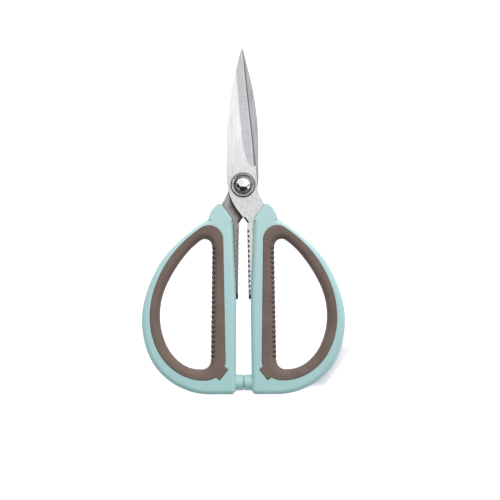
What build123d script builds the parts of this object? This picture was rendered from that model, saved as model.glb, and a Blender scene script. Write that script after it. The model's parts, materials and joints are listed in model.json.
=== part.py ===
"""Kitchen shears with D-shaped handles, lying flat and closed. Millimetres, +Z up.

The tips point along +Y, the mirror line is x = 0 and the shears rest on z = 0. The
origin is under the middle of their length. The front half is the right handle and the
blade that lies on top. The rear half is the same half turned over about the long axis.
"""

import os

from build123d import *

os.makedirs("parts", exist_ok=True)

# Overall sizes, measured from the pivot's centre and from the mirror line
blade_reach = 73.6
handle_reach = 111.4
handle_width = 54.1
handle_thick = 11.0
grip_proud = 0.25

# Blade halves: sheet, spine, edge and the running gap between the two
blade_thick = 2.6
running_gap = 0.1
spine_reach = 8.8
edge_heel_reach = 6.8
edge_tip_reach = 0.5
tip_offset = 0.5
tip_bevel = 2.0
heel_height = 10.3
rear_tip_setback = 1.4
rear_spine_setback = 0.4

# Ground bevel: its widths across the blade, what it leaves of the sheet at the edge, and
# the steep cutting face honed on that
bevel_width = 5.7
bevel_tip_width = 4.7
edge_land = 1.1
runout_length = 16.5
honed_width = 0.62
honed_land = 0.1

# Shank, and the notched tang that the handle is moulded on
shank_reach = 8.0
shank_drop = 3.7
shoulder_reach = 12.0
shoulder_drop = 11.2
crotch_reach = 2.1
crotch_drop = 19.9
tang_drop = 60.8
tang_edge_foot = 2.8
tang_back = 9.4
tang_neck_drop = 24.0
tang_corner = 0.8
tang_hole = 3.4
tang_hole_drops = (31.0, 50.0)
tang_hole_reach = 7.4
notch_count = 13
notch_pitch = 2.65
notch_depth = 0.9
notch_mouth = 1.7
notch_top_drop = 24.6
notch_chamfer = 0.3

# Handle moulding: the loop's inner side, its ear and the stop at its foot
inner_top_reach = 5.7
inner_bend_reach = 3.85
inner_foot_reach = 4.2
inner_bend_drop = 62.0
neck_drop = 18.4
foot_chamfer = 1.6
loop_round = 2.6
ear_top_reach = 12.3
ear_top_drop = 9.2
ear_side_reach = 16.3
ear_side_drop = 12.7
ear_foot_reach = 18.5
ear_foot_drop = 18.1
ear_root_drop = 26.0
ear_root_reach = 11.0
ear_round = 0.9
ear_corner = 1.3
stop_width = 8.6
stop_rise = 6.3
stop_gap = 0.3
stop_root = 3.0
stop_round = 0.6

# Grip: the soft lining, its outer limit, its band, its ribs and its corner tab
grip_crown_reach = 10.7
grip_heel_reach = 9.4
grip_side_band = 4.3
grip_foot_band = 7.5
hole_crown_reach = 16.3
hole_heel_reach = 17.6
hole_side_band = 5.35
hole_foot_band = 5.8
grip_round = 3.5
seam_chamfer = 0.3
core_thick = 4.4
core_depth = 2.4
rib_pitch = 2.62
rib_groove = 0.95
rib_depth = 0.4
rib_face_reach = 3.3
rib_slant = 25.0
tab_side = 3.2
tab_length = 7.5
tab_rise = 4.9
tab_inset = 3.5
tab_lean = 52.0

# Pivot: rivet, dished front washer with a knurled rim, and plain rear washer
rivet_dia = 5.0
pivot_clearance = 0.05
dome_dia = 8.4
dome_height = 2.5
peen_dia = 7.8
peen_height = 1.4
peen_chamfer = 0.5
washer_dia = 13.0
washer_rim = 1.7
washer_floor = 0.8
washer_edge = 0.9
rim_width = 0.8
dish_dia = 8.8
knurl_count = 40
knurl_width = 0.5
knurl_depth = 0.45
rear_washer_dia = 11.0
rear_washer_thick = 0.8
washer_chamfer = 0.2

# How far a cutting tool runs past the face that it cuts
overrun = 1.0

# Loops from the foot up round the outside, as shares of the way across and of the way down
handle_shares = [
    (0.27, 1.0), (0.79, 0.884), (0.921, 0.781), (1.0, 0.59), (0.962, 0.44), (0.86, 0.302), (0.678, 0.165)
]
grip_shares = [
    (0.29, 1.0), (0.612, 0.959), (0.904, 0.81), (1.0, 0.615), (0.919, 0.402), (0.698, 0.216), (0.368, 0.067)
]
grip_crown_share = 0.19
grip_heel_share = 0.27
hole_shares = [
    (0.2, 1.0), (0.611, 0.951), (0.883, 0.831), (1.0, 0.646), (0.858, 0.432), (0.477, 0.232), (0.238, 0.154)
]
hole_crown_share = 0.146
hole_heel_share = 0.18
rib_top_share = 0.206

# Bends of the blade's spine and of its shank, as shares of their reaches
spine_shoulder_share = (0.47, 0.80)
spine_straight_shares = (0.27, 0.065)
shank_bend_share = (0.41, 0.62)

# Run-in of the ground bevel, as shares of runout_length and of bevel_width
runout_shares = [(-0.06, 0.28), (0.115, 0.7), (0.31, 0.82), (0.57, 0.95), (1.0, 1.0)]

# Levels and places that follow from the sizes above
overall_thick = handle_thick + 2 * grip_proud
mid_z = overall_thick / 2
pivot_y = (handle_reach - blade_reach) / 2
pivot_plane = Plane(origin=(0, pivot_y, mid_z))
pivot_section = Plane(origin=(0, pivot_y, mid_z), x_dir=(1, 0, 0), z_dir=(0, -1, 0))
pivot_axis = Axis((0, pivot_y, mid_z), (0, 0, 1))
turn_axis = Axis((0, 0, mid_z), (0, 1, 0))
sheet_low = running_gap / 2
sheet_high = sheet_low + blade_thick
grip_reach = handle_width - grip_side_band
grip_foot = handle_reach - grip_foot_band
hole_reach = grip_reach - hole_side_band
hole_foot = grip_foot - hole_foot_band
rib_top = ear_foot_drop + (hole_foot - ear_foot_drop) * rib_top_share
hole_heel_round = (hole_reach - hole_heel_reach) * hole_heel_share
rib_run = hole_foot - hole_heel_round - rib_top
rivet_radius = rivet_dia / 2


def loop_bends(shares, heel_reach, reach, foot_drop):
    """Points of a loop, from shares of the way across it and down from the ear's foot."""
    width = reach - heel_reach
    height = foot_drop - ear_foot_drop
    return [(heel_reach + width * across, -ear_foot_drop - height * down) for across, down in shares]


def blade_outline(spine_setback):
    """The flat pattern of a half, about the pivot: blade, shank and tang."""
    tip = (spine_setback - tip_offset, blade_reach)
    spine_line = spine_setback - spine_reach
    shoulder_across, shoulder_up = spine_shoulder_share
    straight_top, straight_foot = spine_straight_shares
    bend_across, bend_down = shank_bend_share
    crotch = (crotch_reach, -crotch_drop)
    with BuildSketch() as pattern:
        with BuildLine():
            shoulder = (spine_setback - spine_reach * shoulder_across, blade_reach * shoulder_up)
            spine_tip = Line(tip, shoulder)
            TangentArc(
                shoulder,
                (spine_line, blade_reach * straight_top),
                tangent=spine_tip % 1,
            )
            spine = Line(
                (spine_line, blade_reach * straight_top),
                (spine_line, blade_reach * straight_foot),
            )
            bend = TangentArc(
                spine @ 1,
                (-spine_reach * bend_across, -crotch_drop * bend_down),
                tangent=spine % 1,
            )
            Polyline(
                bend @ 1,
                crotch,
                (tang_edge_foot, -tang_drop),
                (tang_back, -tang_drop),
                (tang_back, -tang_neck_drop),
                (shoulder_reach, -shoulder_drop),
                (shank_reach, -shank_drop),
                (edge_heel_reach, heel_height),
                (edge_tip_reach, blade_reach - tip_bevel),
                tip,
            )
        make_face()
        fillet(pattern.vertices().group_by(Axis.Y)[0], tang_corner)
        edge_lean = (tang_edge_foot - crotch_reach) / (tang_drop - crotch_drop)
        notch_places = []
        for index in range(notch_count):
            drop = notch_top_drop + index * notch_pitch
            notch_places.append((crotch_reach + edge_lean * (drop - crotch_drop), -drop))
        with Locations(notch_places):
            Polygon(
                (-notch_depth, notch_mouth),
                (notch_depth, 0),
                (-notch_depth, -notch_mouth),
                align=None,
                mode=Mode.SUBTRACT,
            )
        with Locations([(tang_hole_reach, -drop) for drop in tang_hole_drops]):
            Circle(tang_hole / 2, mode=Mode.SUBTRACT)
        Circle(rivet_radius + pivot_clearance, mode=Mode.SUBTRACT)
    return pattern.sketch


def loop_outline(crown_reach, heel_reach, reach, foot_drop, shares, crown_share, heel_share):
    """A D-shaped outline: straight leaning side, arcs round the outside, rounded corners."""
    heel = Vector(heel_reach, -foot_drop)
    lean = Vector(crown_reach - heel_reach, foot_drop - ear_foot_drop)
    foot, *bends = loop_bends(shares, heel_reach, reach, foot_drop)
    with BuildSketch() as loop:
        with BuildLine():
            run = Line(heel, foot)
            for bend in bends:
                run = TangentArc(run @ 1, bend, tangent=run % 1)
            end = run @ 1
            heading = run % 1
            crown = end + heading * ((heel - end).cross(lean).Z / heading.cross(lean).Z)
            Line(end, crown)
            Line(crown, heel)
        make_face()
        width = reach - heel_reach
        fillet(loop.vertices().sort_by_distance(crown)[0], width * crown_share)
        fillet(loop.vertices().sort_by_distance(heel)[0], width * heel_share)
    return loop.sketch


def hole_outline():
    """The finger hole inside the lining."""
    return loop_outline(
        hole_crown_reach,
        hole_heel_reach,
        hole_reach,
        hole_foot,
        hole_shares,
        hole_crown_share,
        hole_heel_share,
    )


def lining_outline():
    """The outer limit of the lining, without its corner tab."""
    return loop_outline(
        grip_crown_reach,
        grip_heel_reach,
        grip_reach,
        grip_foot,
        grip_shares,
        grip_crown_share,
        grip_heel_share,
    )


def tabbed_outline():
    """The lining's outer limit with the diagonal tab at its inner lower corner."""
    with BuildSketch() as tabbed:
        add(lining_outline())
        with Locations(Location((grip_heel_reach + tab_inset, tab_rise - grip_foot), -tab_lean)):
            Rectangle(tab_length, 2 * tab_side)
    return tabbed.sketch


def core_outline():
    """The ring of rigid plastic that the lining wraps, as deep as core_depth."""
    with BuildSketch() as core:
        add(lining_outline())
        offset(lining_outline(), amount=-core_depth, mode=Mode.SUBTRACT)
    return core.sketch


def handle_outline():
    """The loop's outer limit, from the neck round the outside to the chamfered foot."""
    foot, *bends = loop_bends(handle_shares, inner_foot_reach, handle_width, handle_reach)
    with BuildSketch() as loop:
        with BuildLine():
            run = Line((inner_foot_reach, -handle_reach), foot)
            for bend in bends:
                run = TangentArc(run @ 1, bend, tangent=run % 1)
            run = TangentArc(run @ 1, (ear_foot_reach, -ear_foot_drop), tangent=run % 1)
            Polyline(
                run @ 1,
                (inner_top_reach, -neck_drop),
                (inner_bend_reach, -inner_bend_drop),
                (inner_foot_reach, -handle_reach),
            )
        make_face()
        heel = loop.vertices().sort_by_distance((inner_foot_reach, -handle_reach))[0]
        chamfer(heel, foot_chamfer)
    return loop.sketch


def ear_outline():
    """The head of the handle: the slanted neck beside the shank, and the ear."""
    with BuildSketch() as head:
        with BuildLine():
            Line((inner_top_reach, -neck_drop), (ear_top_reach, -ear_top_drop))
            ThreePointArc(
                (ear_top_reach, -ear_top_drop),
                (ear_side_reach, -ear_side_drop),
                (ear_foot_reach, -ear_foot_drop),
            )
            Polyline(
                (ear_foot_reach, -ear_foot_drop),
                (ear_root_reach, -ear_root_drop),
                (inner_top_reach, -neck_drop),
            )
        make_face()
        fillet(head.vertices().sort_by_distance((ear_top_reach, -ear_top_drop))[0], ear_corner)
    return head.sketch


# The cutting edge of the front half: a straight line from its heel to its tip
edge_line = Vector(edge_tip_reach - edge_heel_reach, blade_reach - tip_bevel - heel_height)
edge_way = edge_line.normalized()
edge_inward = Vector(-edge_way.Y, edge_way.X, 0)
edge_heel = Vector(edge_heel_reach, pivot_y + heel_height, mid_z + sheet_high)
edge_end = edge_line.length + tip_bevel + overrun
bevel_slope = (blade_thick - edge_land) / bevel_width
honed_fall = blade_thick - honed_land
honed_slope = (honed_fall - (bevel_width - honed_width) * bevel_slope) / honed_width


def ground_blade(spine_setback):
    """A half in the front half's place: sheet, ground bevel and honed cutting face."""
    with BuildPart() as blade:
        with BuildSketch(pivot_plane.offset(sheet_low)):
            add(blade_outline(spine_setback))
        extrude(amount=blade_thick)
        # The flanks of the notches are broken on both faces
        notch_low = pivot_y - notch_top_drop - notch_count * notch_pitch
        flanks = (
            blade.faces()
            .filter_by(Axis.Z)
            .edges()
            .filter_by_position(Axis.X, crotch_reach, tang_edge_foot + notch_depth)
            .filter_by_position(Axis.Y, notch_low, pivot_y - notch_top_drop + notch_mouth)
            .filter_by(lambda edge: abs(edge.tangent_at(0).X) > abs(edge.tangent_at(0).Y) / 2)
        )
        chamfer(flanks, notch_chamfer)
        # The grinder's cut as triangles square to the edge: it curves in at the heel
        stations = [(runout_length * along, bevel_width * width) for along, width in runout_shares]
        stations.append((edge_end, bevel_tip_width))
        for along, width in stations:
            here = edge_heel + edge_way * along
            with BuildSketch(Plane(origin=here, x_dir=edge_inward, z_dir=edge_way)):
                Polygon(
                    (width + overrun, overrun * bevel_slope),
                    (-overrun, -(width + overrun) * bevel_slope),
                    (-overrun, overrun * bevel_slope),
                    align=None,
                )
        loft(ruled=True, mode=Mode.SUBTRACT)
        with BuildSketch(Plane(origin=edge_heel, x_dir=edge_inward, z_dir=edge_way)):
            Polygon(
                ((honed_fall + overrun) / honed_slope, overrun),
                (-overrun, -honed_fall - overrun * honed_slope),
                (-overrun, overrun),
                align=None,
            )
        extrude(amount=edge_end, mode=Mode.SUBTRACT)
    return blade.part


with BuildPart() as front_blade:
    add(ground_blade(0))

# The rear blade is turned over, and its spine and its tip are ground back a little
with BuildPart() as rear_blade:
    add(ground_blade(rear_spine_setback).rotate(turn_axis, 180))
    with BuildSketch(pivot_plane.offset(-sheet_high - overrun)):
        with Locations((0, blade_reach)):
            Rectangle(2 * spine_reach, 2 * rear_tip_setback)
    extrude(amount=blade_thick + 2 * overrun, mode=Mode.SUBTRACT)

# Head of the handle, rounded by itself so that its crease with the loop stays crisp
with BuildPart() as handle_head:
    with BuildSketch(pivot_plane.offset(-handle_thick / 2)):
        add(ear_outline())
    extrude(amount=handle_thick)
    fillet(handle_head.faces().filter_by(Axis.Z).edges(), ear_round)

with BuildPart() as right_handle:
    with BuildSketch(pivot_plane.offset(-handle_thick / 2)):
        add(handle_outline())
    extrude(amount=handle_thick)
    fillet(right_handle.faces().filter_by(Axis.Z).edges(), loop_round)
    add(handle_head.part)
    # Window for the lining, and the ring of plastic that stays inside it as a core
    with BuildSketch(pivot_plane.offset(-overall_thick / 2)):
        add(tabbed_outline())
    extrude(amount=overall_thick, mode=Mode.SUBTRACT)
    with BuildSketch(pivot_plane.offset(-core_thick / 2)):
        add(core_outline())
    extrude(amount=core_thick)
    # Half of the closing stop: a short round stub that meets its twin at the mirror line
    stop_centre = (stop_gap / 2, pivot_y - handle_reach + stop_rise, mid_z)
    with BuildSketch(Plane(origin=stop_centre, x_dir=(0, 1, 0), z_dir=(1, 0, 0))):
        Circle(stop_width / 2)
    extrude(amount=inner_foot_reach + stop_root - stop_gap / 2)
    fillet(right_handle.edges().filter_by(GeomType.CIRCLE).sort_by(Axis.X)[0], stop_round)
    # The plastic is moulded round the tang and through its holes
    add(front_blade.part, mode=Mode.SUBTRACT)

with BuildPart() as right_grip:
    with BuildSketch(pivot_plane.offset(-overall_thick / 2)):
        add(tabbed_outline())
        add(hole_outline(), mode=Mode.SUBTRACT)
    extrude(amount=overall_thick)
    flats = right_grip.faces().filter_by(Axis.Z)
    fillet([face.inner_wires()[0].edges() for face in flats], grip_round)
    flats = right_grip.faces().filter_by(Axis.Z)
    chamfer([face.outer_wire().edges() for face in flats], seam_chamfer)
    with BuildSketch(pivot_plane.offset(-core_thick / 2)):
        add(core_outline())
    extrude(amount=core_thick, mode=Mode.SUBTRACT)
    # Rib grooves wrap the rounded straight side and run out on both faces
    groove_top = overall_thick / 2 + overrun
    groove_flat = overall_thick / 2 - grip_round
    groove_way = Vector(1, 0, 0).rotate(Axis.Z, -rib_slant)
    hole_lean = (hole_heel_reach - hole_crown_reach) / (hole_foot - ear_foot_drop)
    for index in range(round(rib_run / rib_pitch) + 1):
        drop = rib_top + index * rib_pitch
        reach = hole_crown_reach + hole_lean * (drop - ear_foot_drop)
        place = (reach, pivot_y - drop, mid_z)
        with BuildSketch(Plane(origin=place, x_dir=groove_way, z_dir=groove_way.rotate(Axis.Z, 90))):
            Polygon(
                (-rib_face_reach, groove_top),
                (-rib_depth, groove_flat),
                (-rib_depth, -groove_flat),
                (-rib_face_reach, -groove_top),
                (overrun, -groove_top),
                (overrun, groove_top),
                align=None,
            )
    extrude(amount=rib_groove / 2, both=True, mode=Mode.SUBTRACT)

with BuildPart() as left_handle:
    add(right_handle.part.rotate(turn_axis, 180))

with BuildPart() as left_grip:
    add(right_grip.part.rotate(turn_axis, 180))

# Levels of the pivot stack above and below the contact plane
rim_low = sheet_high + pivot_clearance
dome_seat = rim_low + washer_floor
peen_seat = -sheet_high - rear_washer_thick

with BuildPart() as pivot_rivet:
    with BuildSketch(pivot_section):
        with BuildLine():
            Polyline(
                (0, peen_seat - peen_height),
                (peen_dia / 2 - peen_chamfer, peen_seat - peen_height),
                (peen_dia / 2, peen_seat - peen_height + peen_chamfer),
                (peen_dia / 2, peen_seat),
                (rivet_radius, peen_seat),
                (rivet_radius, dome_seat),
                (dome_dia / 2, dome_seat),
            )
            TangentArc(
                (0, dome_seat + dome_height),
                (dome_dia / 2, dome_seat),
                tangent=(1, 0),
            )
            Line((0, dome_seat + dome_height), (0, peen_seat - peen_height))
        make_face()
    revolve(axis=pivot_axis)

with BuildPart() as front_washer:
    with BuildSketch(pivot_section):
        with BuildLine():
            Polyline(
                (rivet_radius, rim_low),
                (washer_dia / 2, rim_low),
                (washer_dia / 2, rim_low + washer_edge),
                (washer_dia / 2 - rim_width, rim_low + washer_rim),
                (dish_dia / 2, rim_low + washer_floor),
                (rivet_radius, rim_low + washer_floor),
                close=True,
            )
        make_face()
    revolve(axis=pivot_axis)
    # Radial knurls across the rim
    with BuildSketch(pivot_plane.offset(rim_low + washer_rim - knurl_depth)):
        with PolarLocations(0, knurl_count):
            Polygon(
                (0, 0),
                (washer_dia / 2, -knurl_width / 2),
                (washer_dia / 2, knurl_width / 2),
                align=None,
            )
    extrude(amount=washer_rim, mode=Mode.SUBTRACT)

with BuildPart() as rear_washer:
    with BuildSketch(pivot_plane.offset(-sheet_high - rear_washer_thick)):
        Circle(rear_washer_dia / 2)
        Circle(rivet_radius, mode=Mode.SUBTRACT)
    extrude(amount=rear_washer_thick)
    chamfer(rear_washer.edges().group_by(Axis.Z)[0].sort_by(SortBy.RADIUS)[-1], washer_chamfer)

front_blade.part.label = "front_blade"
export_step(front_blade.part, "parts/front_blade.step")
rear_blade.part.label = "rear_blade"
export_step(rear_blade.part, "parts/rear_blade.step")
right_handle.part.label = "right_handle"
export_step(right_handle.part, "parts/right_handle.step")
left_handle.part.label = "left_handle"
export_step(left_handle.part, "parts/left_handle.step")
right_grip.part.label = "right_grip"
export_step(right_grip.part, "parts/right_grip.step")
left_grip.part.label = "left_grip"
export_step(left_grip.part, "parts/left_grip.step")
pivot_rivet.part.label = "pivot_rivet"
export_step(pivot_rivet.part, "parts/pivot_rivet.step")
front_washer.part.label = "front_washer"
export_step(front_washer.part, "parts/front_washer.step")
rear_washer.part.label = "rear_washer"
export_step(rear_washer.part, "parts/rear_washer.step")
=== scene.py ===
"""Looks of the kitchen shears: finishes, soft linings, pale studio and camera. Metres, +Z up."""

import json
import math

import bpy
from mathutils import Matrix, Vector


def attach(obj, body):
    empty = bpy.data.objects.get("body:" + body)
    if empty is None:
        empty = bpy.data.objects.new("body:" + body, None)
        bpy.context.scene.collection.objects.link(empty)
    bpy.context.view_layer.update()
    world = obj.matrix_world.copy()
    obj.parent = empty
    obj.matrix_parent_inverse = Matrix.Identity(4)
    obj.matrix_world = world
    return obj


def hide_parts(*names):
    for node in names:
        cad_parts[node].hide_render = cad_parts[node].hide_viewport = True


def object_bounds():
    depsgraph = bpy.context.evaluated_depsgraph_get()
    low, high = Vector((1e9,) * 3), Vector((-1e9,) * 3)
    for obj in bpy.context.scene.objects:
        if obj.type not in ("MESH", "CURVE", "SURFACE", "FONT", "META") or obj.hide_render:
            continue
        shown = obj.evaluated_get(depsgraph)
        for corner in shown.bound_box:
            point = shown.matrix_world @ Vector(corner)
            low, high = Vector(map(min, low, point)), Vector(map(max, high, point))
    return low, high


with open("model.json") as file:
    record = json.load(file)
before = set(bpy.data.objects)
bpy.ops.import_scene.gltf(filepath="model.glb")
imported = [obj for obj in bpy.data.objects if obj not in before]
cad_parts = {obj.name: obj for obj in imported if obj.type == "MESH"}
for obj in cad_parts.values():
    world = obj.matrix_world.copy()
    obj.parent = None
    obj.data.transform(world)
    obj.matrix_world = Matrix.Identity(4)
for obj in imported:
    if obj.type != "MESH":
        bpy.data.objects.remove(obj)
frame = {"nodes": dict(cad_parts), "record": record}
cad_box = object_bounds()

nodes = frame["nodes"]
pivot = Vector(frame["record"]["behaviour"]["joints"][0]["pos_m"])

# The photograph's frame: its width at the shears' level, the spot at its centre and its slight turn
photo_width = 0.26604
photo_centre = Vector((0.00361, -0.0157, 0.0))
photo_turn = math.radians(-0.2344)
photo_level = 0.0075
camera_height = 1.6
camera_far = 20.0
sensor_width = 36.0

# The front blade's edge line, the honed face along it and the painted highlight beside that face
edge_heel = Vector((0.0068, pivot.y + 0.0103, 0.0))
edge_tip = Vector((0.0005, pivot.y + 0.0716, 0.0))
honed_width = 0.00062
edge_highlight_width = 0.0007

# Heights along the shears: where the neck turns into blade, where the tangs start, the handles' foot
neck_levels = (pivot.y - 0.005, pivot.y + 0.028)
tang_level = pivot.y - 0.021
foot_level = pivot.y - 0.1114

# The pivot: foot of the dome, dished floor of the washer, and its knurled rim
dome_lean = Vector((0.0005, 0.0007, 0.0))
dome_foot = (0.0034, 0.0040)
dish_edge = (0.0049, 0.0053)
rim_edge = (0.0059, 0.0061)
washer_top = (0.0, 0.001)
knurl_count = 40.0

# The front shank's edge over the rear one: spots on it, and the ways out from under it
shank_edges = (
    (Vector((-0.0060, pivot.y - 0.0082, 0.0)), Vector((-0.96, -0.28, 0.0))),
    (Vector((-0.0002, pivot.y - 0.0172, 0.0)), Vector((-0.84, -0.543, 0.0))),
)

# The painted shade beside that edge: its top, where it widens and by how much, and its black part
crossing_shade_top = (pivot.y, pivot.y - 0.001)
crossing_shade_levels = (pivot.y - 0.0065, pivot.y - 0.013)
crossing_shade_widths = (0.0009, 0.0048)
black_width = 0.0003

# The rear blade's face ends at a slanted line, and its shank is darker towards the tang
facet_slant = Vector((-0.61, 1.0, 0.0))
facet_levels = (pivot.y - 0.0029, pivot.y - 0.0021)
rear_darkening_levels = (tang_level + 0.004, tang_level - 0.003)

# The slit between the two stops: its middle, and half its width and length
stop_slit = Vector((0.0, pivot.y - 0.1051, 0.0))
slit_half = (0.0012, 0.0036)

# Notches along the tangs, as on the solids: the edge they are cut into, and their places
tang_crotch = Vector((0.0021, pivot.y - 0.0199, 0.0))
tang_end = Vector((0.0028, pivot.y - 0.0608, 0.0))
notch_top = pivot.y - 0.0246
notch_pitch = 0.00265
notch_half = notch_pitch / 4
notch_count = 13
notch_reach = 0.0015
front_notch_slope = 1.0
rear_notch_slope = 0.6
notch_shade_levels = (tang_level + 0.001, tang_level)
tail_levels = (tang_end.y + 0.0048, tang_end.y + 0.0016)

# The painted shade line along the crotch between the tangs: its top, the way into the steel, and its
# ends
crotch_top = Vector((0.0, pivot.y - 0.0173, 0.0))
crotch_way = Vector((0.778, 0.629, 0.0))
crotch_depths = (0.0012, 0.0008)
crotch_start = (pivot.y - 0.0168, pivot.y - 0.0173)
crotch_stop = (tang_crotch.y - 0.0003, tang_crotch.y)

# Grooves across the straight side of each finger hole, as on the solids
hole_side_reach = 0.0163
hole_side_top = pivot.y - 0.0181
hole_side_lean = 0.01625
groove_top = pivot.y - 0.03458
groove_pitch = 0.00262
groove_count = 23
groove_slant = math.tan(math.radians(25.0))
groove_reach = 0.0032
groove_width = 0.0006
groove_depth = 0.0005

# The linings' skin: its grain of remeshing, how it is smoothed, and the share of faces it keeps
skin_size = 0.0003
melt_factor = 0.5
melt_rounds = 5
kept_share = 0.35

# Which way a steel face has to point to count as sheared side, ground bevel or upper face
sheared_upright = (0.86, 0.70)
ground_tilt = (0.1, 0.2)
ground_upright = (0.6, 0.9)
upper_facing = (0.2, 0.6)

# Grain of the finishes: marks per metre across, along and through the shears, then their texture
fine_brush = {"scale": (5200.0, 130.0, 5200.0), "detail": 4.0, "roughness": 0.6}
broad_brush = {"scale": (1300.0, 70.0, 1300.0), "turn": 0.03}
sanding = {"scale": (1500.0, 560.0, 1500.0), "turn": 0.5, "detail": 5.0, "roughness": 0.65}
cross_grinding = {"scale": (160.0, 2600.0, 160.0), "turn": 0.09, "roughness": 0.6}
turning_marks = {"scale": (900.0, 900.0, 900.0), "detail": 2.0}
plastic_cloud = {"scale": (60.0, 60.0, 60.0)}
plastic_grain = {"scale": (3800.0, 3800.0, 3800.0), "detail": 2.0}
rubber_cloud = {"scale": (90.0, 90.0, 90.0), "detail": 4.0, "roughness": 0.6}
rubber_skin = {"scale": (2400.0, 2400.0, 2400.0)}
fine_part = 0.4
broad_part = 0.6

# Where along a grain, from 0 to 1, one colour gives way to the other
streak_range = (0.38, 0.66)
mottle_range = (0.36, 0.68)
grinding_range = (0.4, 0.68)
marks_range = (0.35, 0.7)
knurl_range = (0.1, 0.6)
cloud_range = (0.35, 0.8, 0.0, 0.5)
cocoa_range = (0.3, 0.7)

# Gloss of the finishes: the grain's low and high end, and the roughness at each
steel_gloss = (0.2, 0.8, 0.30, 0.42)
chrome_gloss = (0.3, 0.7, 0.05, 0.12)
plastic_gloss = (0.25, 0.75, 0.34, 0.46)
rubber_gloss = (0.2, 0.8, 0.52, 0.7)

# Relief of the finishes: strength and depth
steel_relief = (0.25, 0.00004)
chrome_relief = (0.05, 0.00002)
plastic_relief = (0.12, 0.00003)
rubber_relief = (0.3, 0.00004)

# Painted shade in a finish's crevices: how far it reaches, and how open the darkest and the unshaded
# spots are
steel_crevice = (0.0015, 0.2, 0.8)
chrome_crevice = (0.0009, 0.45, 0.9)
rubber_crevice = (0.0012, 0.45, 0.95)

# Finishes, as linear colours, and how much of the brushed steel shines as metal
# The mint's two tones are painted light: paler towards the neck, darker towards the foot
mint_lit = (0.50, 0.72, 0.725, 1.0)
mint_shaded = (0.385, 0.63, 0.63, 1.0)
mint_cloud = (0.425, 0.655, 0.66, 1.0)
cocoa = (0.19, 0.138, 0.114, 1.0)
cocoa_deep = (0.155, 0.110, 0.090, 1.0)
cocoa_shade = (0.035, 0.024, 0.022, 1.0)
blade_steel = (0.94, 0.94, 0.945, 1.0)
blade_streak = (0.79, 0.79, 0.80, 1.0)
shank_steel = (0.785, 0.785, 0.785, 1.0)
shank_mottle = (0.575, 0.575, 0.575, 1.0)
# The rear blade is the same steel, painted darker as shade
shaded_rear_strip = (0.52, 0.52, 0.53, 1.0)
shaded_rear_streak = (0.38, 0.38, 0.385, 1.0)
shaded_rear_shank = (0.44, 0.43, 0.425, 1.0)
shaded_rear_mottle = (0.30, 0.29, 0.285, 1.0)
bevel_steel = (0.56, 0.55, 0.585, 1.0)
bevel_line = (0.46, 0.45, 0.48, 1.0)
edge_highlight_steel = (0.66, 0.65, 0.68, 1.0)
sheared_steel_and_shade = (0.24, 0.24, 0.25, 1.0)
# Black of the painted shade
shade_black = (0.02, 0.019, 0.019, 1.0)
chrome = (0.90, 0.90, 0.91, 1.0)
chrome_dull = (0.78, 0.78, 0.80, 1.0)
dish_dark_reflection = (0.34, 0.34, 0.35, 1.0)
dish_darker_reflection = (0.16, 0.16, 0.165, 1.0)
steel_metal_share = 0.75

# The floor, and the patch past the right handle's foot where its shadow keeps its own tone
floor_half = 3.0
floor_colour = (0.82, 0.80, 0.845, 1.0)
shadow_way = (0.75, -0.66, 0.0)
shadow_near = (0.085, 0.076)
shadow_far = (0.086, 0.098)
shadow_below = (-0.085, -0.093)
shadow_above = (-0.072, -0.057)
shadow_lift = (0.26, 0.92)

# The studio: its white side ends at a straight line, which turns back at both ends. Each end has
# a slope and a start. Each slim light has its way and how near to that a ray has to be.
near_line = -0.33
left_turn = (-1.76, 1.34)
right_turn = (2.0, 1.81)
dark_blur = (0.05, -0.03)
dark_depth = 0.97
horizon = (0.0, 0.05)
side_levels = (0.9, 1.3)
left_light = ((-0.74, -0.66, 0.12), (0.96, 0.985))
right_light = ((0.90, -0.36, 0.24), (0.965, 0.985))
softbox_place = Vector((0.15, 0.75, 1.0))
softbox_side = 0.5
softbox_power = 4.0


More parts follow.
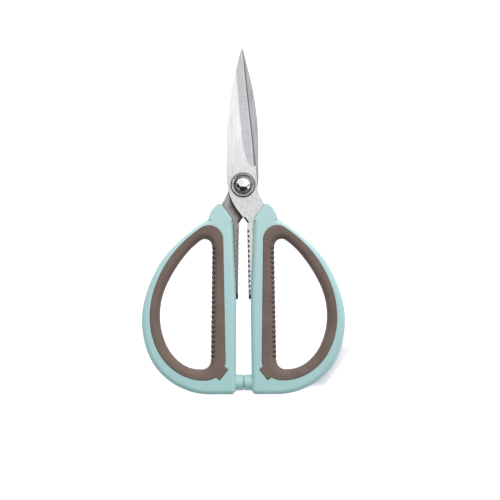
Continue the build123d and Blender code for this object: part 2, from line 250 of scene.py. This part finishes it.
class Nodes:
    """Short ways to add nodes to a tree."""

    def __init__(self, tree):
        self.tree = tree

    def put(self, socket, value):
        """Sets a socket, or links it if the value comes from another node."""
        if isinstance(value, bpy.types.NodeSocket):
            self.tree.links.new(value, socket)
        else:
            socket.default_value = value

    def node(self, kind, inputs=None, **settings):
        made = self.tree.nodes.new(kind)
        for key, value in settings.items():
            setattr(made, key, value)
        for key, value in (inputs or {}).items():
            self.put(made.inputs[key], value)
        return made

    def maths(self, operation, one, two=0.0):
        return self.node("ShaderNodeMath", {0: one, 1: two}, operation=operation).outputs[0]

    def product(self, made, *others):
        for other in others:
            made = self.maths("MULTIPLY", made, other)
        return made

    def largest(self, made, *others):
        for other in others:
            made = self.maths("MAXIMUM", made, other)
        return made

    def ramp(self, value, low, high, from_value=0.0, to_value=1.0):
        """Goes smoothly from one value at the low end to another at the high end."""
        made = self.node("ShaderNodeMapRange", {0: value}, interpolation_type="SMOOTHSTEP")
        limits = (low, high, from_value, to_value)
        for key, given in zip(("From Min", "From Max", "To Min", "To Max"), limits):
            self.put(made.inputs[key], given)
        return made.outputs[0]

    def mix(self, share, one, two):
        """Mixes two colours, which are the mix node's sockets 6 and 7."""
        return self.node("ShaderNodeMix", {0: share, 6: one, 7: two}, data_type="RGBA").outputs[2]

    def vector_maths(self, operation, one, two=(0.0, 0.0, 0.0)):
        return self.node("ShaderNodeVectorMath", {0: one, 1: two}, operation=operation).outputs

    def split(self, vector):
        return self.node("ShaderNodeSeparateXYZ", {0: vector}).outputs

    def place(self, scale=None, turn=0.0):
        """The object's own coordinates, or these stretched and turned about +Z."""
        source = self.node("ShaderNodeTexCoord").outputs["Object"]
        if scale is None:
            return source
        settings = {"Vector": source, "Scale": scale, "Rotation": (0.0, 0.0, turn)}
        return self.node("ShaderNodeMapping", settings).outputs[0]

    def along(self, way):
        """How far a place lies from the origin along a way."""
        return self.vector_maths("DOT_PRODUCT", self.place(), way)["Value"]

    def past(self, spot, way):
        """How far a place lies past a spot along a way."""
        return self.maths("SUBTRACT", self.along(way), spot.dot(way))

    def height(self):
        return self.along((0.0, 1.0, 0.0))

    def noise(self, scale, turn=0.0, detail=3.0, roughness=0.5):
        settings = {"Scale": 1.0, "Detail": detail, "Roughness": roughness}
        settings["Vector"] = self.place(scale, turn)
        return self.node("ShaderNodeTexNoise", settings).outputs["Fac"]

    def bump(self, height, strength, depth):
        settings = {"Height": height, "Strength": strength, "Distance": depth}
        return self.node("ShaderNodeBump", settings).outputs[0]

    def open_share(self, reach, low, high):
        """How open a spot is: 0 deep in a corner, 1 with nothing within reach. It sets where shade is
        painted.
        """
        corners = self.node("ShaderNodeAmbientOcclusion", {"Distance": reach}, samples=8)
        return self.ramp(corners.outputs["AO"], low, high)


class Finish(Nodes):
    """A procedural material."""

    def __init__(self, name):
        self.material = bpy.data.materials.new(name)
        self.material.use_nodes = True
        super().__init__(self.material.node_tree)
        self.shader = self.tree.nodes["Principled BSDF"]

    def shade(self, **inputs):
        for key, value in inputs.items():
            self.put(self.shader.inputs[key.replace("_", " ")], value)
        return self.material


def brushed_grain(finish):
    """Lengthwise brushing: broad streaks with finer ones among them."""
    fine = finish.product(finish.noise(**fine_brush), fine_part)
    broad = finish.product(finish.noise(**broad_brush), broad_part)
    return finish.maths("ADD", fine, broad)


def blade_share(finish, side):
    """Where the steel is blade, not shank. The rear blade's starts at its facet's slanted end."""
    if side > 0:
        return finish.ramp(finish.height(), *neck_levels)
    return finish.ramp(finish.along(facet_slant), *facet_levels)


def shank_face(finish, side, sanded, shank, mottle):
    """Cloudy sanded shank; the rear one turns darker towards its tang."""
    colour = finish.mix(finish.ramp(sanded, *mottle_range), shank, mottle)
    if side > 0:
        return colour
    darkened = finish.ramp(finish.height(), *rear_darkening_levels)
    return finish.mix(darkened, colour, shaded_rear_mottle)


def bevel_face(finish, side, cross):
    """Grinding lines across the bevel, and a painted highlight along the honed face."""
    edge_way = (edge_tip - edge_heel).normalized()
    inward = Vector((-edge_way.y * side, edge_way.x, 0.0))
    heel = Vector((edge_heel.x * side, edge_heel.y, 0.0))
    highlight_end = honed_width + edge_highlight_width
    highlight = finish.ramp(finish.past(heel, inward), highlight_end, highlight_end - edge_highlight_width / 2)
    bevel = finish.mix(finish.ramp(cross, *grinding_range), bevel_steel, bevel_line)
    return finish.mix(highlight, bevel, edge_highlight_steel)


def crotch_line(finish, side):
    """A painted shade line follows the slanted edges of the crotch above the tangs."""
    way = Vector((crotch_way.x * side, crotch_way.y, 0.0))
    line = finish.ramp(finish.past(crotch_top, way), *crotch_depths)
    start = finish.ramp(finish.height(), *crotch_start)
    stop = finish.ramp(finish.height(), *crotch_stop)
    return finish.product(line, start, stop)


def crossing_shade(finish, facing_up):
    """Painted shade on the rear shank's upper face beside the front shank's edge: dark, and black
    close to it.
    """
    out = finish.largest(*[finish.past(spot, way) for spot, way in shank_edges])
    width = finish.ramp(finish.height(), *crossing_shade_levels, *crossing_shade_widths)
    shade_band = finish.ramp(out, width, black_width)
    below = finish.ramp(finish.height(), *crossing_shade_top)
    return finish.product(shade_band, below, finish.ramp(facing_up, *upper_facing))


def steel_material(name, side, blade, streak, shank, mottle):
    """Brushed blade, sanded shank, cross-ground bevel and dark sheared sides, with painted shade in
    corners, on steep faces and notches, on the tang's end, the crotch and the crossing.
    """
    finish = Finish(name)
    facing = finish.split(finish.node("ShaderNodeTexCoord").outputs["Normal"])
    upright = finish.maths("ABSOLUTE", facing["Z"])
    tilt = finish.maths("ABSOLUTE", facing["X"])
    ground = finish.product(finish.ramp(tilt, *ground_tilt), finish.ramp(upright, *ground_upright))
    brushed = brushed_grain(finish)
    sanded = finish.noise(**sanding)
    cross = finish.noise(**cross_grinding)
    bladed = blade_share(finish, side)
    blade_face = finish.mix(finish.ramp(brushed, *streak_range), blade, streak)
    face = finish.mix(bladed, shank_face(finish, side, sanded, shank, mottle), blade_face)
    colour = finish.mix(ground, face, bevel_face(finish, side, cross))
    # Painted shade darkens the tang's end, the crotch and, on the rear shank, where the shanks cross
    painted_shades = [finish.ramp(finish.height(), *tail_levels), crotch_line(finish, side)]
    if side < 0:
        painted_shades.append(crossing_shade(finish, facing["Z"]))
    for share in painted_shades:
        colour = finish.mix(share, colour, shade_black)
    # The sheared and other steep faces are darker steel with painted shade, and painted black shade on
    # the flanks of the tang's notches
    notched = finish.ramp(finish.height(), *notch_shade_levels)
    side_colour = finish.mix(notched, sheared_steel_and_shade, shade_black)
    colour = finish.mix(finish.ramp(upright, *sheared_upright), colour, side_colour)
    # Corners of the steel get painted shade
    colour = finish.mix(finish.open_share(*steel_crevice), shade_black, colour)
    grain = finish.mix(ground, finish.mix(bladed, sanded, brushed), cross)
    return finish.shade(
        Base_Color=colour,
        Metallic=steel_metal_share,
        Roughness=finish.ramp(brushed, *steel_gloss),
        Normal=finish.bump(grain, *steel_relief),
    )


def chrome_material():
    """Polished metal, faintly marked by turning, with a painted dark reflection where the dome meets
    the knurled washer and painted shade in its knurls.
    """
    finish = Finish("pivot_chrome")
    marks = finish.noise(**turning_marks)
    marked = finish.ramp(marks, *marks_range)
    colour = finish.mix(marked, chrome, chrome_dull)
    across, along, up = finish.split(finish.vector_maths("SUBTRACT", finish.place(), pivot)[0])
    flat = finish.node("ShaderNodeCombineXYZ", {0: across, 1: along}).outputs[0]
    spoke = finish.vector_maths("LENGTH", flat)["Value"]
    upper = finish.ramp(up, *washer_top)
    # The foot of the dome and the dish round it are painted dark as a reflection, further in on the
    # near side
    dish = finish.mix(marked, dish_dark_reflection, dish_darker_reflection)
    leaning = finish.vector_maths("DISTANCE", flat, dome_lean)["Value"]
    colour = finish.mix(finish.product(finish.ramp(leaning, *dome_foot), upper), colour, dish)
    # Outside the dish the rim's knurls and its outer edge are painted with shade
    turn = finish.maths("ARCTAN2", along, across)
    wave = finish.maths("COSINE", finish.product(turn, knurl_count))
    knurl = finish.mix(finish.ramp(wave, *knurl_range), chrome, shade_black)
    colour = finish.mix(finish.product(finish.ramp(spoke, *dish_edge), upper), colour, knurl)
    colour = finish.mix(finish.product(finish.ramp(spoke, *rim_edge), upper), colour, shade_black)
    # Corners of the chrome get painted shade
    colour = finish.mix(finish.open_share(*chrome_crevice), shade_black, colour)
    return finish.shade(
        Base_Color=colour,
        Metallic=1.0,
        Roughness=finish.ramp(marks, *chrome_gloss),
        Normal=finish.bump(marks, *chrome_relief),
    )


def plastic_material():
    """Satin moulded plastic, with painted light making it paler towards the neck, faintly cloudy, with
    a very fine grain.
    """
    finish = Finish("mint_plastic")
    cloud = finish.noise(**plastic_cloud)
    grain = finish.noise(**plastic_grain)
    colour = finish.mix(finish.ramp(finish.height(), foot_level, pivot.y), mint_shaded, mint_lit)
    colour = finish.mix(finish.ramp(cloud, *cloud_range), colour, mint_cloud)
    return finish.shade(
        Base_Color=colour,
        Roughness=finish.ramp(grain, *plastic_gloss),
        Normal=finish.bump(grain, *plastic_relief),
    )


def rubber_material():
    """Soft matt lining with a fine skin, with painted shade down in its grooves."""
    finish = Finish("cocoa_rubber")
    cloud = finish.noise(**rubber_cloud)
    skin = finish.noise(**rubber_skin)
    colour = finish.mix(finish.ramp(cloud, *cocoa_range), cocoa, cocoa_deep)
    colour = finish.mix(finish.open_share(*rubber_crevice), cocoa_shade, colour)
    return finish.shade(
        Base_Color=colour,
        Roughness=finish.ramp(skin, *rubber_gloss),
        Normal=finish.bump(skin, *rubber_relief),
    )


def give_finish(node, finish):
    """Puts a finish on a piece that keeps the solid's own mesh."""
    piece = nodes[node]
    if not piece.material_slots:
        piece.data.materials.append(None)
    for slot in piece.material_slots:
        slot.link = "OBJECT"
        slot.material = finish


def apply_modifiers(piece):
    """Gives a piece the mesh that its modifiers make."""
    graph = bpy.context.evaluated_depsgraph_get()
    made = bpy.data.meshes.new_from_object(piece.evaluated_get(graph))
    piece.modifiers.clear()
    piece.data = made


def carve_grooves(mesh, side):
    """Deepens the grooves inward from the finger hole's edge, with soft walls and fading ends."""
    normals = [vertex.normal.copy() for vertex in mesh.vertices]
    for vertex, normal in zip(mesh.vertices, normals):
        across = vertex.co.x * side
        inset = hole_side_reach + hole_side_lean * (hole_side_top - vertex.co.y) - across
        along = groove_top - (vertex.co.y - groove_slant * inset)
        index = round(along / groove_pitch)
        if not 0 <= index < groove_count or not -groove_width < inset < groove_reach:
            continue
        off = abs(along - index * groove_pitch)
        if off >= groove_width:
            continue
        wall = 0.5 + 0.5 * math.cos(math.pi * off / groove_width)
        fade = min(1.0, 2.0 * (1.0 - max(inset, 0.0) / groove_reach))
        vertex.co.z -= normal.z * groove_depth * wall * fade


def slope_notches(mesh, side, share):
    """Lets the notches' flanks slope out towards the underside, by a share of their depth."""
    levels = [vertex.co.z for vertex in mesh.vertices]
    middle = (min(levels) + max(levels)) / 2
    lean = (tang_end.x - tang_crotch.x) / (tang_crotch.y - tang_end.y)
    for vertex in mesh.vertices:
        index = round((notch_top - vertex.co.y) / notch_pitch)
        off = abs(notch_top - index * notch_pitch - vertex.co.y)
        edge = tang_crotch.x + lean * (tang_crotch.y - vertex.co.y)
        depth = side * vertex.co.x - edge
        within = 0.0 < depth < notch_reach and off < notch_half
        if 0 <= index < notch_count and within and vertex.co.z < middle:
            vertex.co.x -= side * share * depth


def copy_of(name, node):
    """A copy of a solid's mesh as an object of its own, with no finish yet."""
    mesh = nodes[node].data.copy()
    mesh.materials.clear()
    piece = bpy.data.objects.new(name, mesh)
    bpy.context.scene.collection.objects.link(piece)
    return piece


def stand_in(piece, node, body):
    """Lets a piece ride on a body in the place of a solid."""
    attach(piece, body)
    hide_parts(node)


def build_blade(name, node, body, side, share, finish):
    """A blade as on the solid, but for its notches' slope."""
    blade = copy_of(name, node)
    slope_notches(blade.data, side, share)
    blade.data.materials.append(finish)
    stand_in(blade, node, body)


def build_lining(name, node, body, side, finish):
    """A soft lining: the solid's shape as one skin, with its grooves and edges melted a little."""
    lining = copy_of(name, node)
    skin = lining.modifiers.new("skin", "REMESH")
    skin.mode = "VOXEL"
    skin.voxel_size = skin_size
    melt = lining.modifiers.new("melt", "SMOOTH")
    melt.factor = melt_factor
    melt.iterations = melt_rounds
    apply_modifiers(lining)
    carve_grooves(lining.data, side)
    thin = lining.modifiers.new("thin", "DECIMATE")
    thin.ratio = kept_share
    apply_modifiers(lining)
    # Smoothing moves the lowest spots a hair below the solid's, so they are set back on its level
    for vertex in lining.data.vertices:
        vertex.co.z = max(vertex.co.z, cad_box[0][2])
    lining.data.shade_smooth()
    lining.data.materials.clear()
    lining.data.materials.append(finish)
    stand_in(lining, node, body)


def floor_lift(finish):
    """How far the floor is lifted to white: fully, but in the shadow's patch and between the stops."""
    beyond = finish.along(shadow_way)
    height = finish.height()
    lift = finish.largest(
        finish.ramp(beyond, *shadow_near),
        finish.ramp(beyond, *shadow_far),
        finish.ramp(height, *shadow_below),
        finish.ramp(height, *shadow_above),
    )
    lift = finish.ramp(lift, 0.0, 1.0, *shadow_lift)
    slit = finish.split(finish.vector_maths("SUBTRACT", finish.place(), stop_slit)[0])
    beside = finish.maths("GREATER_THAN", finish.maths("ABSOLUTE", slit[0]), slit_half[0])
    past_end = finish.maths("GREATER_THAN", finish.maths("ABSOLUTE", slit[1]), slit_half[1])
    return finish.product(lift, finish.largest(beside, past_end))


def floor_material():
    """Plain white floor. Rays from the camera or a reflection see it lifted, light does not."""
    finish = Finish("white_floor")
    diffuse = finish.node("ShaderNodeBsdfDiffuse", {"Color": floor_colour}).outputs[0]
    glow = finish.node("ShaderNodeEmission", {"Strength": floor_lift(finish)}).outputs[0]
    lifted = finish.node("ShaderNodeAddShader", {0: diffuse, 1: glow}).outputs[0]
    path = finish.node("ShaderNodeLightPath").outputs
    seen = finish.largest(
        path["Is Camera Ray"],
        path["Is Glossy Ray"],
        path["Is Transmission Ray"],
    )
    shown = finish.node("ShaderNodeMixShader", {0: seen, 1: diffuse, 2: lifted}).outputs[0]
    finish.put(finish.tree.nodes["Material Output"].inputs["Surface"], shown)
    return finish.material


def build_floor():
    """A wide flat floor at the level that the shears lie on."""
    mesh = bpy.data.meshes.new("floor")
    corners = [(x * floor_half, y * floor_half, 0) for x, y in ((-1, -1), (1, -1), (1, 1), (-1, 1))]
    mesh.from_pydata(corners, [], [(0, 1, 2, 3)])
    mesh.materials.append(floor_material())
    floor = bpy.data.objects.new("floor", mesh)
    bpy.context.scene.collection.objects.link(floor)


def build_world():
    """A soft white studio with a dark near side, where two slim lights stand low down."""
    world = bpy.data.worlds.new("studio")
    bpy.context.scene.world = world
    world.use_nodes = True
    sky = Nodes(world.node_tree)
    way = sky.node("ShaderNodeTexCoord").outputs["Generated"]
    across, far, up = sky.split(way)
    ends = [
        sky.maths("SUBTRACT", sky.product(across, slope), start)
        for slope, start in (left_turn, right_turn)
    ]
    line = sky.largest(*ends, near_line)
    lights = sky.largest(*[
        sky.ramp(sky.vector_maths("DOT_PRODUCT", way, aim)["Value"], *blur)
        for aim, blur in (left_light, right_light)
    ])
    dark = sky.product(
        sky.ramp(sky.maths("SUBTRACT", far, line), *dark_blur),
        sky.ramp(up, *horizon),
        sky.maths("SUBTRACT", 1.0, lights),
    )
    level = sky.maths("SUBTRACT", 1.0, sky.product(dark, dark_depth))
    level = sky.product(level, sky.ramp(across, -1.0, 1.0, *side_levels))
    seen = sky.node("ShaderNodeLightPath").outputs["Is Camera Ray"]
    background = sky.tree.nodes["Background"]
    sky.put(background.inputs["Strength"], sky.largest(level, seen))
    sky.put(background.inputs["Color"], (1.0, 1.0, 1.0, 1.0))


def build_softbox():
    """One soft light from beyond the tips, aimed at the shears."""
    data = bpy.data.lights.new("key_softbox", "AREA")
    data.size = softbox_side
    data.energy = softbox_power
    lamp = bpy.data.objects.new("key_softbox", data)
    lamp.location = softbox_place
    lamp.rotation_euler = (-softbox_place).to_track_quat("-Z", "Y").to_euler()
    lamp.visible_camera = False
    lamp.visible_glossy = False
    bpy.context.scene.collection.objects.link(lamp)


def build_camera():
    """Looks straight down, from so high that the photograph's frame fits at the shears' level."""
    data = bpy.data.cameras.new("camera")
    data.sensor_width = sensor_width
    data.lens = sensor_width * (camera_height - photo_level) / photo_width
    data.clip_end = camera_far
    camera = bpy.data.objects.new("camera", data)
    camera.location = photo_centre + Vector((0, 0, camera_height))
    camera.rotation_euler = (0, 0, photo_turn)
    bpy.context.scene.collection.objects.link(camera)
    bpy.context.scene.camera = camera


front_steel = steel_material("front_steel", 1, blade_steel, blade_streak, shank_steel, shank_mottle)
# The rear steel is the front's, painted darker as shade
rear_steel = steel_material("rear_steel", -1, shaded_rear_strip, shaded_rear_streak, shaded_rear_shank, shaded_rear_mottle)
pivot_chrome = chrome_material()
handle_plastic = plastic_material()
grip_rubber = rubber_material()

for pivot_piece in ("pivot_rivet", "front_washer", "rear_washer"):
    give_finish(pivot_piece, pivot_chrome)
for handle in ("right_handle", "left_handle"):
    give_finish(handle, handle_plastic)

build_blade("front_stamping", "front_blade", "front_half", 1, front_notch_slope, front_steel)
build_blade("rear_stamping", "rear_blade", "rear_half", -1, rear_notch_slope, rear_steel)
build_lining("right_lining", "right_grip", "front_half", 1, grip_rubber)
build_lining("left_lining", "left_grip", "rear_half", -1, grip_rubber)

build_floor()
build_world()
build_softbox()
build_camera()
bpy.context.scene.view_settings.view_transform = "Standard"
